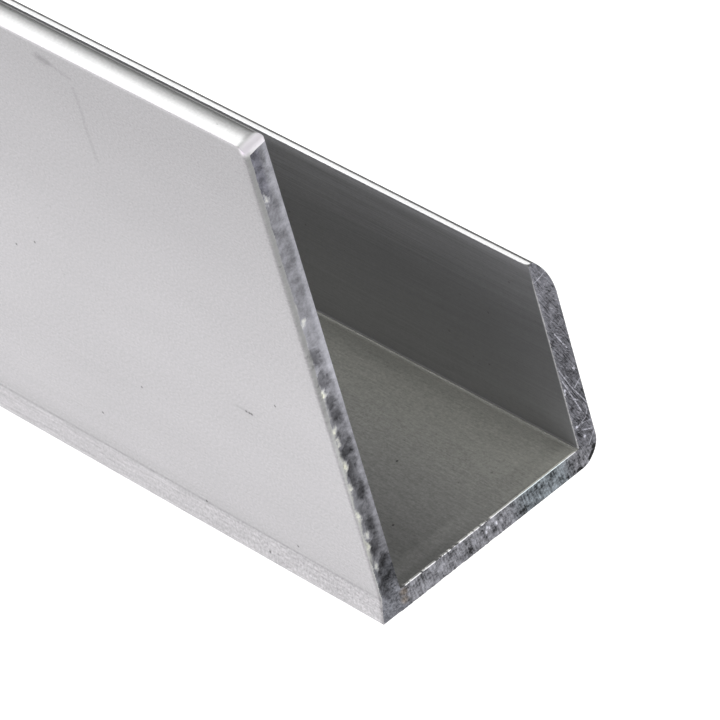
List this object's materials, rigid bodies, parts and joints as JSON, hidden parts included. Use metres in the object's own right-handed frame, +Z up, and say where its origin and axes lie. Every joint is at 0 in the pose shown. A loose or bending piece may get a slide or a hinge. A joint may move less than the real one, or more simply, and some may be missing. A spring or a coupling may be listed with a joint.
{
  "type": "aluminium J channel",
  "caption": "Length of extruded aluminium J channel with a tall leg, a short round-nosed leg and a saw-cut end.",
  "frame": {"origin": "centre of the footprint on the underside of the web, halfway along the length", "axes": "+X along the length towards the pictured cut end, +Y from the long leg to the short leg, +Z up the legs"},
  "size_m": [0.3048, 0.0194, 0.0385],
  "materials": {
    "aluminium": "satin mill finish"
  },
  "bodies": {
    "root": {"j_channel": "aluminium"}
  },
  "joints": []
}
